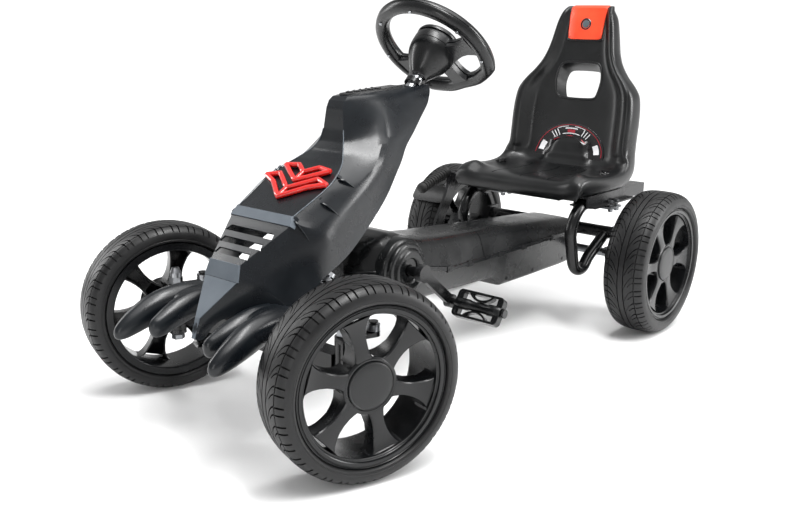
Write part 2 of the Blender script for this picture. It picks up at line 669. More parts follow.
@dataclass
class HandWheel:
    """D-shaped wheel in two half shells on a bulb. Own frame: Z along the column, Y to the driver."""

    rim_r: float = 94.8
    flat: float = 77.0
    corner: float = 24.0
    lean: float = 44.0
    steer: float = 19.0

    def place(self) -> Matrix:
        """Returns the column's frame at the hand wheel's middle."""
        return (Matrix.Translation(at(0, 396, 520)) @ Matrix.Rotation(math.radians(-self.lean), 4, "X")
                @ Matrix.Rotation(math.radians(-self.steer), 4, "Z"))

    def centre_line(self) -> list[tuple[float, float]]:
        """Returns the rim's middle line: a circle cut flat towards the driver, with round corners."""
        a = math.degrees(math.acos(self.flat / self.rim_r))
        arc = [(self.rim_r * math.sin(math.radians(t)), self.rim_r * math.cos(math.radians(t)))
               for t in [a + 11 + (338 - 2 * a) * k / 84 for k in range(85)]]
        start, end = arc[-1], arc[0]
        flat_x = 0.62 * self.rim_r * math.sin(math.radians(a))
        bridge = curve_through([arc[-3], start, (-flat_x, self.flat), (0, self.flat + 0.4),
                                (flat_x, self.flat), end, arc[2]], 6)
        return arc + [tuple(p) for p in bridge[7:-7]]

    def half(self, front: bool) -> Shape:
        """Builds one half shell of the rim with a bead along its parting line."""
        place = self.place()
        path = [place @ Vector((x * MM, y * MM, 0)) for x, y in self.centre_line()]
        axis = (place.to_3x3() @ Vector((0, 0, 1))).normalized()
        top = [(11.4 * math.cos(math.radians(t)), 0.45 + 11.2 * math.sin(math.radians(t)) ** 0.9)
               for t in range(0, 181, 15)]
        top = [(11.4, 0.45), (11.4, 2.0)] + [(x * 0.98, y + 0.3) for x, y in top[1:-1]] + [(-11.4, 2.0),
                (-11.4, 0.45)]
        low = [(x * 0.97, -0.45 - (y - 0.45) * 1.08) for x, y in top]
        section = top if front else low
        return Shape().sweep(path, lambda share: section, axis, loop=True)

    def spokes(self, front: bool) -> Shape:
        """Builds the half shells of the three spokes, broad at the boss and waisted towards the rim."""
        shape = Shape()
        z0, z1 = (0.5, 9.0) if front else (-10.5, -0.5)
        for x in (-1, 1):
            rings = []
            for r, lo, hi in ((26, -7, 30), (38, -4, 27), (52, -1, 24), (66, -1, 24), (78, -4, 27),
                              (86, -7, 30)):
                sag = 1.5 * math.sin(math.pi * (r - 26) / 60)
                zf = (z1 - sag) if front else z1
                zb = z0 if front else (z0 + sag)
                rings.append([Vector((x * r * MM, y * MM, z * MM)) for y, z in
                              ((lo, zb), (hi, zb), (hi, zf - 1.5), (hi - 2, zf), (lo + 2, zf),
                               (lo, zf - 1.5))])
            shape.loft(rings, place=self.place())
        rings = []
        for r, w in ((26, 17), (38, 14), (52, 12.5), (62, 13.5), (70, 17)):
            rings.append([Vector((y * MM, r * MM, z * MM)) for y, z in
                          ((-w, z0), (w, z0), (w, z1 - 1.5), (w - 2, z1), (2 - w, z1), (-w, z1 - 1.5))])
        return shape.loft(rings, place=self.place())

    def boss(self) -> Shape:
        """Builds the bulb behind the wheel with its seam and collar."""
        return Shape().lathe([(10.4, -61.5), (14.6, -61.5), (15.6, -60.4), (16.2, -57), (19.6, -50.5),
                              (24.5, -43), (29.2, -35.5),
                              (33.4, -27.5), (36.4, -19.5), (37.8, -12), (38.0, -6.6), (37.0, -6.0),
                              (37.0, -5.0), (38.0, -4.4),
                              (37.9, 4), (36.8, 9.6), (35.4, 11.4), (10.4, 11.4)], self.place(),
                              closed=True)

    def cap(self) -> Shape:
        """Builds the round cap towards the driver: raised rim, ring and a plain domed middle."""
        return Shape().lathe([(0, 12.2), (37.8, 12.2), (37.8, 15.4), (36.6, 18.2), (33.6, 20.6),
                              (30.2, 21.6), (28.8, 20.6), (27.4, 21.2),
                              (20, 23.0), (8, 23.9), (0, 24.0)], self.place())

    def recesses(self) -> Shape:
        """Builds the dark inlays on the bulb: a label-free panel and two vent slots."""
        shape = Shape()
        for turn, wide, low, high in ((205, 11, -31, -17), (232, 2.6, -33, -18), (243, 2.6, -33, -18)):
            rings = []
            for z in (low, (low + high) / 2, high):
                r = between([(-35.5, 29.2), (-27.5, 33.4), (-19.5, 36.4), (-12, 37.8)], z)
                ring = []
                for out in (0.35, -1.5):
                    for s in ((-1, 0, 1) if out > 0 else (1, 0, -1)):
                        a = math.radians(turn) + s * wide / r
                        ring.append(Vector(((r + out) * MM * math.cos(a), (r + out) * MM * math.sin(a),
                                            z * MM)))
                rings.append(ring)
            shape.loft(rings, place=self.place())
        return shape

    def build(self) -> None:
        """Builds the hand wheel."""
        front, back = self.half(True), self.half(False)
        for half, front_side in ((front, True), (back, False)):
            arms = self.spokes(front_side)
            half.join(arms)
        piece("hand_wheel_front_shell", front, POLYPROPYLENE, "steering", sharp_deg=40,
              replaces=["hand_wheel_front"])
        piece("hand_wheel_back_shell", back, POLYPROPYLENE, "steering", sharp_deg=40,
              replaces=["hand_wheel_back"])
        piece("hand_wheel_boss", self.boss(), POLYPROPYLENE, "steering", sharp_deg=32,
              replaces=["boss_cover"])
        piece("hand_wheel_cap", self.cap(), POLYPROPYLENE, "steering", sharp_deg=28, replaces=["boss_cap"])
        piece("boss_inlays", self.recesses(), PRINTED_FILM, "steering", sharp_deg=40)


# ---- fairing ----------------------------------------------------------------


@dataclass
class Fairing:
    """Pointed front fairing: a flat faceted face panel between two creases, and bulged sides.

    Each station holds the crease, the side ridge and the rear edge as (x, y, z).
    """

    stations: tuple = (
        ((4.5, -104, 154), (6.5, -98, 152), (8, -92, 153)),
        ((4, -95, 182), (14, -84, 178), (22, -72, 178)),
        ((33, -54, 227), (50, -35, 212), (62, -20, 193)),
        ((29, -47, 248), (60, -12, 225), (80, 8, 193)),
        ((60, 18, 297), (84, 45, 264), (89, 52, 224)),
        ((55, 23, 305), (84, 75, 292), (86, 108, 250)),
        ((62, 89, 342), (82, 140, 330), (76, 185, 305)),
        ((47, 128, 363), (76, 180, 362), (68, 225, 345)),
        ((32, 147, 378), (70, 198, 380), (62, 244, 362)),
        ((24, 156.5, 392), (63, 214, 397), (55, 262, 380)),
        ((20, 160.5, 408), (55, 224, 413), (46, 290, 398)),
        ((18, 161.5, 424), (46, 232, 428), (37, 318, 418)),
        ((16.5, 163, 439), (38, 239, 441), (30, 342, 436)),
        ((15.5, 167, 449), (32, 245, 451), (26, 352, 449)),
        ((14.5, 174, 454.8), (27, 249, 457.5), (22, 358, 458)),
        ((13, 184, 456.8), (22, 251, 460.5), (18, 359, 465.5)),
    )
    wall: float = 3.0
    rows: int = 5
    columns: int = 7

    def side_curve(self, station: tuple) -> list[list[float]]:
        """Returns the points from crease through ridge to rear edge, bulged like blown sheet."""
        crease, ridge, edge = station
        first = [c + (r - c) * 0.5 for c, r in zip(crease, ridge)]
        first[0] += 0.06 * abs(ridge[1] - crease[1])
        return curve_through([crease, first, ridge, edge], self.columns // 2)

    def skin(self) -> Shape:
        """Builds the outer skin as one closed-topped sheet."""
        half_rows: list[list[list[float]]] = [self.side_curve(s) for s in self.stations]
        columns = [curve_through([row[k] for row in half_rows], self.rows)
                   for k in range(len(half_rows[0]))]
        crease = []
        for a, b in zip(self.stations, self.stations[1:]):
            crease += [[p + (q - p) * s / self.rows for p, q in zip(a[0], b[0])] for s in range(self.rows)]
        crease.append(list(self.stations[-1][0]))
        columns[0] = crease
        rings = []
        for i in range(len(crease)):
            right = [at(-max(c[i][0], 0.5), c[i][1], c[i][2]) for c in reversed(columns)]
            middle = [at(columns[0][i][0] * t, columns[0][i][1], columns[0][i][2] + 0.4 * (1 - t * t))
                      for t in (-0.5, 0, 0.5)]
            left = [at(max(c[i][0], 0.5), c[i][1], c[i][2]) for c in columns]
            rings.append(right + middle + left)
        shape = Shape().loft(rings, close=False, caps=False)
        top = rings[-1]
        n = len(top)
        faces = [(k, k + 1, n - 2 - k, n - 1 - k) for k in range(n // 2 - 1)]
        shape.add(top, faces)
        return shape

    def slots(self) -> Shape:
        """Builds the cutters of the three air slots."""
        shape = Shape()
        for half, y, z in ((47, -2, 281.5), (42, -18, 269), (34, -33.5, 257)):
            place = Matrix.Translation(at(0, y, z)) @ Matrix.Rotation(math.radians(-52), 4, "X")
            shape.prism([(-half, -5.0), (half, -5.0), (half - 3.5, 5.2), (3.5 - half, 5.2)], -14, 14,
                        place @ Matrix.Rotation(math.radians(90), 4, "X"))
        return shape

    def band(self, low: tuple, high: tuple, wide_low: float, wide_high: float, ear: float) -> Shape:
        """Builds one bright facet band that lies proud of the face panel.

        Args:
            low: (y, z) of its lower edge.
            high: (y, z) of its upper edge.
            wide_low: Half width at the lower edge.
            wide_high: Half width at the upper edge.
            ear: Length of the turned-down end caps.

        Returns:
            The band's shape.
        """
        run, rise = high[0] - low[0], high[1] - low[1]
        size = math.hypot(run, rise)
        out = (-rise / size, run / size)
        rows = []
        for (y, z), w in ((low, wide_low), (high, wide_high)):
            face = [(-w - ear, -ear * 1.1), (-w, 1.6), (w, 1.6), (w + ear, -ear * 1.1),
                    (w + ear - 1.6, -ear * 1.1 - 1), (w - 1, -1), (1 - w, -1),
                    (1.6 - w - ear, -ear * 1.1 - 1)]
            rows.append([at(x, y + out[0] * h, z + out[1] * h) for x, h in face])
        return Shape().loft(rows)

    def chevrons(self) -> Shape:
        """Builds the raised red badge: nested tube chevrons with swept tips, free of any mark."""
        shape = Shape()
        origin, lean = at(0, 80, 337.5), math.radians(29.5)
        place = Matrix.Translation(origin) @ Matrix.Rotation(lean, 4, "X")
        lines = [
            [(-60, 6), (-34, -6), (0, -34), (34, -6), (60, 6)],
            [(-60, 6), (-38, 14), (0, -14), (38, 14), (60, 6)],
            [(-44, 34), (-24, 20), (0, 4), (24, 20), (44, 34)],
            [(-44, 34), (-20, 38), (0, 24), (20, 38), (44, 34)],
            [(0, -34), (0, -14)],
            [(0, 4), (0, 24)],
        ]
        for line in lines:
            path = [place @ Vector((x * MM, y * MM, 3.6 * MM)) for x, y in line]
            dense: Ring = []
            for a, b in zip(path, path[1:]):
                dense += [a.lerp(b, t / 4) for t in range(4)]
            dense.append(path[-1])
            normal = place.to_3x3() @ Vector((0, 0, 1))
            shape.sweep(dense, lambda share: ellipse(3.9, 3.4, 12, 2.6), normal)
        return shape

    def fin(self, peg: tuple, top: tuple, foot: tuple, normal: tuple, sign: int) -> Shape:
        """Builds one swept fin on a shoulder and the square peg above it.

        Args:
            peg: Middle of the peg on the skin.
            top: Upper end of the fin on the skin.
            foot: Lower end of the fin on the skin.
            normal: Way out of the skin.
            sign: 1 for the driver's left side, -1 for the right.

        Returns:
            The fin and its peg.
        """
        a, b, spot = (at(sign * p[0], p[1], p[2]) for p in (top, foot, peg))
        out = Vector((sign * normal[0], normal[1], normal[2])).normalized()
        side = (b - a).cross(out).normalized() * (1.7 * MM)
        rows = []
        for share, lift, thick in ((0.0, 1.0, 0.7), (0.08, 4.4, 1.0), (0.22, 6.4, 1.0), (0.45, 6.2, 0.9),
                                   (0.75, 3.2, 0.7), (1.0, 0.3, 0.3)):
            base = a.lerp(b, share)
            rows.append([base - out * 5 * MM + side * thick, base + out * lift * MM + side * thick * 0.6,
                         base + out * lift * MM - side * thick * 0.6,
                         base - out * 5 * MM - side * thick])
        shape = Shape().loft(rows)
        along = (b - a).normalized() * (3.4 * MM)
        wide = side.normalized() * (2.6 * MM)
        rows = [[spot + along * u + wide * v + out * h for u, v in ((-1, -1), (1, -1), (1, 1), (-1, 1))]
                for h in (-5 * MM, 2.2 * MM)]
        return shape.join(Shape().loft(rows))

    def crease_beads(self) -> Shape:
        """Builds the fine bright parting beads along both creases of the face panel."""
        shape = Shape()
        line = [s[0] for s in self.stations[5:11]]
        for sign in (-1, 1):
            path = [at(sign * (p[0] + 0.2), p[1] - 0.3, p[2] + 0.3) for p in curve_through(line, 4)]
            shape.sweep(path, lambda share: ellipse(0.75, 0.75, 8), Vector((sign, -0.5, 0.5)))
        return shape

    def dash(self) -> Shape:
        """Builds the ribbed plate along the top of the neck."""
        shape = Shape()
        place = Matrix.Translation(at(0, 198, 458.6)) @ Matrix.Rotation(math.radians(3.2), 4, "X")
        outline = [(-7, -18), (7, -18), (11, 4), (14, 60), (13, 104), (-13, 104), (-14, 60), (-11, 4)]
        shape.prism(outline, -2.0, 1.6, place)
        for k, y in enumerate((-8, 6, 20, 34, 48)):
            for m in (-1, 1):
                slant = [(m * 1.5, y - 2), (m * (5 + k), y + 5), (m * (5 + k), y + 10), (m * 1.5, y + 3.5)]
                shape.prism(slant if m > 0 else slant[::-1], 1.0, 3.4, place)
        return shape

    def build(self) -> None:
        """Builds the fairing and everything on it."""
        skin = self.skin()
        obj = skin.object("fairing_skin")
        bpy.context.view_layer.update()
        wall = obj.modifiers.new("wall", "SOLIDIFY")
        wall.thickness, wall.offset = self.wall * MM, -1.0
        mesh = bpy.data.meshes.new_from_object(obj.evaluated_get(bpy.context.evaluated_depsgraph_get()))
        thick = Shape().add([v.co for v in mesh.vertices], [tuple(p.vertices) for p in mesh.polygons])
        bpy.data.objects.remove(obj)
        bpy.data.meshes.remove(mesh)
        thick.carve(self.slots())
        piece("fairing_shell", thick, FAIRING_ABS, "chassis", sharp_deg=24, replaces=["fairing"])
        upper = self.band((15.2, 295), (24.5, 307), 60, 55.5, 5.0)
        lower = self.band((-54.4, 226.5), (-47.4, 248.5), 33.4, 29.4, 0.8)
        tip = Shape().loft([[at(x, y, z) for x, y, z in row] for row in (
            [(-3.4, -104.6, 155), (3.4, -104.6, 155), (3.4, -103, 154.6), (-3.4, -103, 154.6)],
            [(-4.2, -96.6, 181.5), (4.2, -96.6, 181.5), (4.2, -94.5, 181), (-4.2, -94.5, 181)],
            [(-32, -56.0, 226.6), (32, -56.0, 226.6), (32, -54, 226), (-32, -54, 226)])])
        piece("fairing_bands", upper.join(lower).join(tip), FACET_ABS, "chassis",
              bevel_mm=0.6, sharp_deg=25)
        piece("badge_chevrons", self.chevrons(), RED_LACQUER, "chassis", sharp_deg=50, replaces=["emblem"])
        fins = Shape()
        for sign in (-1, 1):
            for peg, top, foot, normal in (
                ((59.6, 110, 350.5), (62.1, 105.1, 347.8), (79, 128.4, 331.5), (0.7, -0.25, 0.65)),
                ((63.0, 71, 324.6), (64.9, 66.8, 321.1), (83.4, 87.3, 301.2), (0.84, -0.3, 0.45)),
                ((58.6, 27.5, 303.6), (58.0, 23.3, 302.0), (77.2, 35.6, 272.5), (0.8, -0.4, 0.45)),
            ):
                fins.join(self.fin(peg, top, foot, normal, sign))
        piece("fairing_fins", fins, FAIRING_ABS, "chassis", bevel_mm=0.4, sharp_deg=25)
        piece("fairing_crease_beads", self.crease_beads(), FACET_ABS, "chassis", sharp_deg=60)
        piece("dash_plate_ribbed", self.dash(), POLYPROPYLENE, "chassis", bevel_mm=0.6,
              replaces=["dash_plate"])


@dataclass
class Wing:
    """Two-lobed scoop beside the nose, like a pair of beaks."""

    side: Side
    inner: tuple = ((60, -22, 181, 17, 14), (60.5, -50, 180, 18, 16), (60, -78, 174, 17, 16.5),
                    (58.5, -100, 167, 14.5, 15.5),
                    (57.4, -114, 162, 12, 14), (56.8, -123, 159.5, 9.5, 12), (56.5, -128.5, 158, 6, 8.5),
                    (56.4, -130.6, 157.5, 1.5, 2.5))
    outer: tuple = ((88, -18, 183, 17, 14), (91, -48, 183, 19, 16), (94.5, -82, 177, 19, 18),
                    (97, -108, 169, 17.5, 17.5),
                    (98, -130, 160, 14.5, 15), (98.3, -144, 153.8, 11.5, 12), (98.4, -152.0, 150.4, 8.2, 9),
                    (98.4, -156.2, 148.7, 4.4, 5.4),
                    (98.4, -157.6, 148.2, 1, 1.4))

    def lobe(self, rows: tuple) -> Shape:
        """Lofts one lobe through its rows of (x, y, z, half width, half height)."""
        rings = []
        for x, y, z, rx, rz in curve_through(rows, 4):
            ring = []
            for a, b in ellipse(rx, rz, 28, 2.3):
                keel = 0.22 * rz * max(0.0, b / rz) * (1 - min(1, abs(a) / rx))
                ring.append(at(self.side.value * (x + a), y - 0.18 * b, z + b + keel))
            rings.append(ring)
        return Shape().loft(rings)

    def web(self) -> Shape:
        """Builds the floor of the scoop that joins both lobes."""
        rings = []
        rows = ((-14, 183, 29, 14), (-40, 182.5, 30, 15.5), (-58, 180, 30, 15.5), (-70, 176.5, 28, 14.5),
                (-78, 172.5, 25, 12.5), (-84, 168.5, 21, 9.5),
                (-87, 166, 14, 5))
        for y, z, w, h in curve_through(rows, 3):
            rings.append([at(self.side.value * (76 + a), y - 0.25 * b, z + b) for a,
                          b in ellipse(w, h, 32, 2.6)])
        return Shape().loft(rings)

    def build(self) -> None:
        """Builds the scoop."""
        word = self.side.name.lower()
        shape = self.lobe(self.inner)
        for part in (self.lobe(self.outer), self.web()):
            shape.join(part)
        piece(f"wing_scoop_{word}", shape, FAIRING_ABS, "chassis", sharp_deg=50, replaces=[f"wing_{word}"])


# ---- chain case -------------------------------------------------------------


@dataclass
class ChainCase:
    """Two moulded covers that meet on a flanged joint line, with stepped crank housings."""

    part: tuple = ((184, 190), (250, 190), (309, 181), (376, 167), (822, 165))
    top: tuple = ((184, 193), (187, 206), (194, 221), (206, 233), (222, 241), (243, 246), (266, 243),
                  (290, 233), (322, 226), (380, 220), (475, 213),
                  (600, 204), (748, 193), (790, 189), (806, 185), (816, 178), (822, 169))
    bottom: tuple = ((184, 186), (188, 160), (198, 138), (216, 128), (324, 126), (480, 120), (520, 119),
                     (536, 108), (548, 99), (650, 98),
                     (764, 98), (786, 99), (804, 107), (816, 120), (822, 136), (824, 152), (824, 162))
    seam_y: float = 475.0

    def upper(self) -> Shape:
        """Lofts the upper cover along Y with its flange, soft shoulders and panel seam."""
        rings = []
        stops = sorted({*(y for y, _ in self.top), *(184 + 638 * k / 70 for k in range(71)),
                        self.seam_y - 1.2, self.seam_y - 0.4, self.seam_y + 0.4, self.seam_y + 1.2})
        for y in stops:
            zt, zp = between(self.top, y), between(self.part, y) + 0.2
            tall = max(zt - zp, 0.6)
            nose = min(1.0, math.sqrt(max(0.02, (y - 182) / 42)))
            tail = min(1.0, math.sqrt(max(0.02, (826 - y) / 24)))
            wide = nose * tail
            dip = 0.9 if abs(y - self.seam_y) < 0.6 else 0.0
            wf, ws, wt = 63.5 * wide, 60.5 * wide, between([(184, 40), (300, 42), (475, 44), (822, 46)],
                    y) * wide
            soft = min(14.0, tall * 0.5)
            half = [(wf, 0), (wf, min(2.6, tall * 0.3)), (wf - 1.0, min(3.4, tall * 0.34)),
                    (ws, min(3.6, tall * 0.36)), (ws - 0.8, min(6, tall * 0.42)),
                    (wt + (ws - wt) * 0.42, tall - soft * 0.95),
                    (wt + (ws - wt) * 0.16, tall - soft * 0.52), (wt - 4, tall - soft * 0.17),
                    (wt - 12, tall - 0.6),
                    (wt * 0.4, tall), (0, tall)]
            half = [(max(x - dip, 0), z if z < 1 else z - dip * 0.6) for x, z in half]
            rings.append([at(x, y, zp + z) for x, z in half]
                         + [at(-x, y, zp + z) for x, z in reversed(half[:-1])])
        return Shape().loft(rings)

    def lower(self) -> Shape:
        """Lofts the lower cover along Y: drafted sides, rounded keel and the step behind the crank."""
        rings = []
        stops = sorted({*(y for y, _ in self.bottom), *(184 + 640 * k / 60 for k in range(61))})
        for y in stops:
            zb, zp = between(self.bottom, y), between(self.part, y) - 0.3
            tall = max(zp - zb, 0.6)
            wide = min(1.0, math.sqrt(max(0.02, (y - 182) / 30))) * min(1.0,
                    math.sqrt(max(0.03, (828 - y) / 24)))
            wf, ws, wb = 63.5 * wide, 60.8 * wide, 50 * wide
            soft = min(9.0, tall * 0.4)
            half = [(wf, 0), (wf, -min(2.6, tall * 0.3)), (wf - 1.2, -min(3.2, tall * 0.33)),
                    (ws, -min(3.6, tall * 0.36)), (ws - 0.6, -min(6, tall * 0.45)),
                    (wb + 3, soft - tall), (wb, soft * 0.45 - tall), (wb - 4, 1.2 - tall), (wb - 10, -tall),
                    (0, -tall)]
            rings.append([at(x, y, zp + z) for x, z in half]
                         + [at(-x, y, zp + z) for x, z in reversed(half[:-1])])
        return Shape().loft(rings)

    def housings(self) -> Shape:
        """Builds the stepped round housings over both ends of the crank shaft."""
        shape = Shape()
        for side in Side:
            place = wheel_frame(side, 0, *CRANK_AXIS)
            shape.lathe([(9.6, 40), (50, 40), (49.4, 56), (48.6, 59.6), (46.8, 61.4), (44.4, 62.0),
                         (43.6, 62.8), (42.8, 67.4), (41.2, 69.6),
                         (38.6, 70.6), (35.6, 70.8), (34.6, 71.6), (33.2, 74.6), (31.2, 76.0), (27, 76.4),
                         (21, 76.0), (19.4, 74.6), (18.6, 71.6), (9.6, 71.2)],
                        place, steps=72, closed=True)
        return shape

    def clips(self) -> Shape:
        """Builds the snap clips and screw bosses along the joint line."""
        shape = Shape()
        for side in Side:
            for y in (372, 430, 522, 600, 700):
                z = between(self.part, y)
                place = Matrix.Translation(at(side.value * 63.2, y,
                        z)) @ Matrix.Rotation(math.radians(90 * side.value), 4, "Y")
                shape.prism(rounded(11, 15, 2), -1.6, 1.5, place)
                shape.prism(rounded(5, 9, 1.2), 1.0, 2.3, place)
            for y, z in ((560, 112), (650, 110), (760, 112)):
                place = Matrix.Translation(at(side.value * 52.6, y,
                        z)) @ Matrix.Rotation(math.radians(90 * side.value), 4, "Y")
                shape.lathe([(0, 2.0), (3.2, 2.0), (3.6, 1.4), (3.6, -3), (0, -3)], place, steps=24)
        return shape

    def build(self) -> None:
        """Builds both covers."""
        upper = self.upper()
        upper.join(self.housings())
        piece("chain_case_upper", upper, POLYPROPYLENE, "chassis", sharp_deg=34,
              replaces=["chain_cover_upper"])
        piece("chain_case_lower", self.lower(), POLYPROPYLENE, "chassis", sharp_deg=34,
              replaces=["chain_cover_lower"])
        piece("chain_case_clips", self.clips(), POLYPROPYLENE, "chassis", bevel_mm=0.5)


# ---- seat -------------------------------------------------------------------


@dataclass
class Seat:
    """Blow-moulded bucket seat with an orange-red head pad and a printed lumbar arch.

    Rows run from the front lip over the pan and up the backrest:
    (y, z, half width, bolster height, depth of the rolled edge).
    """

    rows: tuple = (
        (668, 246, 122, 0, 8), (659, 251, 131, 0, 12), (655.2, 260, 136, 1, 16), (657.5, 271, 138, 3, 20),
        (667, 279.5, 139, 6, 23),
        (690, 283, 142, 8, 26), (730, 282, 145, 6, 26), (775, 280.5, 146, 6, 25), (812, 282, 146, 9, 25),
        (836, 289, 145, 15, 26),
        (849, 301, 142, 21, 27), (856, 318, 137, 24, 27), (860, 345, 136, 25, 26), (864, 378, 136, 25, 26),
        (868, 408, 134, 25, 26),
        (871, 431, 129, 24, 26), (874, 450, 116, 22, 26), (877.5, 468, 99, 20, 26),
        (881.5, 488, 84.5, 18, 26), (885.5, 507, 76, 17, 26),
        (889.5, 526, 71, 16, 25), (893, 548, 66.5, 15, 24), (896.5, 568, 62, 14, 23),
        (900, 583, 57, 11, 21), (905.5, 592.5, 52, 6, 18),
        (915, 597.0, 47.5, 1.5, 12),
    )
    across: tuple = ((0.0, 0.0), (0.16, 0.0), (0.32, 0.0), (0.46, 0.015), (0.58, 0.05), (0.68, 0.17),
                     (0.76, 0.48), (0.82, 0.84), (0.865, 0.98),
                     (0.905, 1.02), (0.945, 0.98), (0.975, 0.8), (0.993, 0.5), (1.0, 0.1))
    steps: int = 6

    def rise(self, x: float, y: float, z: float, row: Sequence[float]) -> float:
        """Returns how far the lumbar hump and front corner bumps stand out of the seat at a point (mm)."""
        wide = 33 + 0.42 * (337 - z)
        fade = min(1.0, max(0.0, (z - 286) / 14)) if y > 835 else 0.0
        hump = 9.0 * fade / (1 + math.exp(max(-40.0, min(40.0, (z - 336) / 1.8)))) / (1
                + math.exp(max(-40.0, min(40.0, (abs(x) - wide) / 1.8))))
        corner = 8.0 * bump_at(abs(x), 112, 17) * bump_at(y, 690, 22)
        return hump + corner

    def ring(self, row: Sequence[float], way: tuple[float, float]) -> Ring:
        """Builds one closed ring across the seat: face, rolled edges and underside."""
        y, z, hw, bolster, depth = row
        ny, nz = -way[1], way[0]
        face = []
        for a, lift in curve_through(self.across, 3):
            x = a * hw
            out = lift * bolster + self.rise(x, y, z, row)
            face.append((x, out))
        face += [(hw, -0.35 * depth), (hw - 1.2, -0.72 * depth), (hw - 5, -0.95 * depth), (hw - 12, -depth)]
        back = [(0.6 * hw, -depth), (0.3 * hw, -depth), (0.0, -depth)]
        half = face + back
        full = [(-x, o) for x, o in reversed(half[1:-1])]
        ring = []
        for x, o in half + full:
            clear = 7.6 * min(1.0, max(0.0, (abs(x) - 84) / 20))
            ring.append((x, y + ny * o, max(z + nz * o, 243.2 + clear)))
        return [at(*p) for p in ring]

    def shell(self) -> Shape:
        """Lofts the seat, then cuts the hand hole and the three pan grooves."""
        dense = curve_through(self.rows, self.steps)
        rings = []
        for i, row in enumerate(dense):
            a, b = dense[max(i - 1, 0)], dense[min(i + 1, len(dense) - 1)]
            d = math.hypot(b[0] - a[0], b[1] - a[1])
            rings.append(self.ring(row, ((b[0] - a[0]) / d, (b[1] - a[1]) / d)))
        shape = Shape().loft(rings)
        place = Matrix.Translation(at(0, 880, 452)) @ Matrix.Rotation(math.radians(90 - 7), 4, "X")
        hole = self.hole(0)
        rear = place @ Matrix.Translation(Vector((2 * MM, -9 * MM, 0)))
        near = [place @ Vector((x * MM, y * MM, 70 * MM)) for x, y in hole]
        face = [place @ Vector((x * MM, y * MM, 4 * MM)) for x, y in hole]
        far = [rear @ Vector((x * 0.86 * MM, y * 0.84 * MM, -16 * MM)) for x, y in hole]
        last = [rear @ Vector((x * 0.86 * MM, y * 0.84 * MM, -70 * MM)) for x, y in hole]
        cutters = Shape().loft([near, face, far, last])
        for x in (-64, 0, 60):
            for y0, y1, z in ((672, 706, 281.2), (706, 745, 281.0), (745, 790, 279.4), (790, 822, 281.2)):
                lane = Matrix.Translation(at(x, (y0 + y1) / 2, z))
                cutters.prism([(-1.1, (y0 - y1) / 2), (1.1, (y0 - y1) / 2), (1.1, (y1 - y0) / 2),
                               (-1.1, (y1 - y0) / 2)], -1.5, 9, lane)
        return shape.carve(cutters)

    def hole(self, grow: float) -> list[tuple[float, float]]:
        """Returns the hand hole's outline about its middle, in the backrest's own plane."""
        raw = [(-36, -33), (-20, -34.5), (0, -35), (20, -34.5), (36, -33), (44, -26), (49.5, 0), (47, 20),
               (41, 31), (30, 35), (0, 36),
               (-30, 35), (-41, 31), (-47, 20), (-49.5, 0), (-44, -26)]
        loop = curve_through(raw + raw[:1], 3)[:-1]
        return [(x * (1 + grow / 48), y * (1 + grow / 34)) for x, y in loop]

    def face_y(self, x: float, z: float) -> float:
        """Returns how far back the backrest's face is at (x, z)."""
        rows = [r for r in self.rows if r[1] > 300]
        y = between([(r[1], r[0]) for r in rows], z)
        hw = between([(r[1], r[2]) for r in rows], z)
        bolster = between([(r[1], r[3]) for r in rows], z)
        out = between(self.across, min(abs(x) / hw, 1.0)) * bolster + self.rise(x, y, z, ())
        return y - out

    def hole_lip(self) -> Shape:
        """Builds the rolled lip round the hand hole."""
        path = []
        for x, v in self.hole(1.2):
            z = 452 + v * math.cos(math.radians(7))
            path.append(at(x, self.face_y(x, z) + 0.6, z))
        return Shape().sweep(path, lambda share: ellipse(2.6, 2.2, 10), Vector((0, -1, 0.12)), loop=True)

    def arch_strip(self, inner: tuple, outer: tuple, t0: float, t1: float, proud: float,
                   thick: float) -> Shape:
        """Builds a curved strip that hugs the lumbar area.

        Args:
            inner: (half width, height) of the inner arch.
            outer: (half width, height) of the outer arch.
            t0: First angle in degrees.
            t1: Last angle in degrees.
            proud: Distance in front of the seat's face (mm).
            thick: Thickness (mm).

        Returns:
            The strip, closed all round.
        """
        steps = max(4, int(abs(t1 - t0) / 4))
        rings = []
        for i in range(steps + 1):
            t = math.radians(t0 + (t1 - t0) * i / steps)
            ring = []
            for depth, shares in ((0.0, (0, 0.25, 0.5, 0.75, 1)), (thick, (1, 0.75, 0.5, 0.25, 0))):
                for k in shares:
                    w, h = inner[0] + (outer[0] - inner[0]) * k, inner[1] + (outer[1] - inner[1]) * k
                    x, z = w * math.cos(t), 303 + h * math.sin(t)
                    ring.append(at(x, self.face_y(x, z) - proud + depth, z))
            rings.append(ring)
        return Shape().loft(rings)

    def prints(self) -> tuple[Shape, Shape]:
        """Builds the white and red printed marks: plain arcs and ticks."""
        def arch_at(share: float) -> tuple[float, float]:
            """Returns the (half width, height) of the arch at a share of the strip's breadth."""
            return 49 + 29 * share, 38 + 26 * share

        white, red = Shape(), Shape()
        strips = [(white, arch_at(a), arch_at(b), t0, t1, 1.7) for t0, t1, a, b in (
            (78, 102, 0.6, 0.68), (70, 110, 0.22, 0.28), (64, 84, 0.78, 0.82), (96, 116, 0.78, 0.82))]
        strips += [(white, (56, 44), (71, 57), t, t + 1.6, 1.7) for t in (52, 58, 64, 116, 122, 128)]
        strips += [(white, (58, 46), (70, 56), t, t + 20, 1.7) for t in (8, 152)]
        strips += [(red, arch_at(a), arch_at(b), 2, 178, 1.6) for a, b in ((0.04, 0.08), (0.88, 0.92))]
        strips += [(red, (58, 46), (65, 52), 82, 98, 1.6)]
        for shape, inner, outer, t0, t1, proud in strips:
            shape.join(self.arch_strip(inner, outer, t0, t1, proud, 1.0))
        return white, red

